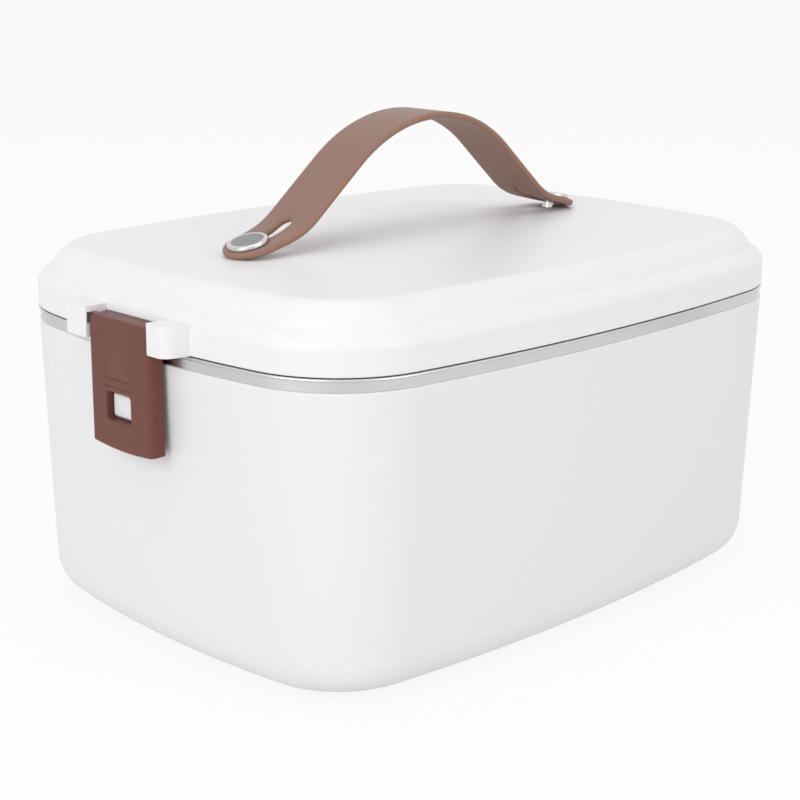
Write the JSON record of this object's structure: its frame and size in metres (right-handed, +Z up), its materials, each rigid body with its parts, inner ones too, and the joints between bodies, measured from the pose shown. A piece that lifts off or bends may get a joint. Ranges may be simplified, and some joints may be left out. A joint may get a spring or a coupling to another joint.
{
  "type": "electric lunch box",
  "caption": "Rounded white heated lunch box with a lift-off domed lid, a latch on each end, a lift-out steel container and an arched carrying strap.",
  "frame": {"origin": "middle of the base, on the surface that the feet stand on", "axes": "+X along the long side towards one latch, +Y across towards the power inlet, +Z up"},
  "size_m": [0.2456, 0.174, 0.161],
  "materials": {
    "white_shell": "satin white polypropylene",
    "well_plastic": "pale grey, matte",
    "screw_steel": "plain zinc-plated",
    "foot_rubber": "matte dark grey",
    "plate_aluminium": "plain",
    "ring_rubber": "matte silicone",
    "ceramic": "matte ceramic colour",
    "lead_cover": "silicone cover",
    "inlet_plastic": "matte black",
    "pin_metal": "plain",
    "lens": "clear red, glossy",
    "container_steel": "brushed round the flange, satin inside",
    "seal_rubber": "matte silicone",
    "strap_cover": "fine-grained, satin",
    "stud_steel": "brushed face with a bright bevel",
    "latch_plastic": "satin brown"
  },
  "bodies": {
    "housing": {"outer_housing": "white_shell", "heating_well": "well_plastic", "base_cover": "white_shell", "cover_screws": "screw_steel", "rubber_feet": "foot_rubber", "heating_plate": "plate_aluminium", "plate_ring": "ring_rubber", "heater_block": "plate_aluminium", "heater_bracket": "screw_steel", "bracket_screws": "screw_steel", "thermostat": "ceramic", "thermal_fuse": "ceramic", "fuse_clip": "screw_steel", "plate_screws": "screw_steel", "internal_leads": "lead_cover", "power_inlet": "inlet_plastic", "inlet_pins": "pin_metal", "indicator_lens": "lens", "indicator_lamp": "lens"},
    "container": {"steel_container": "container_steel"},
    "lid": {"lid_shell": "white_shell", "inner_lid": "well_plastic", "lid_seal": "seal_rubber", "handle_strap": "strap_cover", "left_stud": "stud_steel", "right_stud": "stud_steel", "stud_washers": "screw_steel", "stud_screws": "screw_steel"},
    "latch_left": {"left_latch": "latch_plastic"},
    "latch_right": {"right_latch": "latch_plastic"}
  },
  "joints": [
    {"name": "lid_lift", "type": "slide", "parent": "housing", "child": "lid", "axis": [0, 0, 1], "range_m": [0, 0.11]},
    {"name": "container_lift", "type": "slide", "parent": "housing", "child": "container", "axis": [0, 0, 1], "range_m": [0, 0.077]},
    {"name": "left_latch_hinge", "type": "hinge", "parent": "lid", "child": "latch_left", "pos_m": [-0.1188, 0, 0.105], "axis": [0, 1, 0], "range_deg": [0, 110]},
    {"name": "right_latch_hinge", "type": "hinge", "parent": "lid", "child": "latch_right", "pos_m": [0.1188, 0, 0.105], "axis": [0, -1, 0], "range_deg": [0, 110]}
  ],
  "couplings": [
    {"joint": "container_lift", "follows": "lid_lift", "ratio": 0.7},
    {"joint": "left_latch_hinge", "follows": "lid_lift", "rad_per_m": 17.453},
    {"joint": "right_latch_hinge", "follows": "lid_lift", "rad_per_m": 17.453}
  ]
}
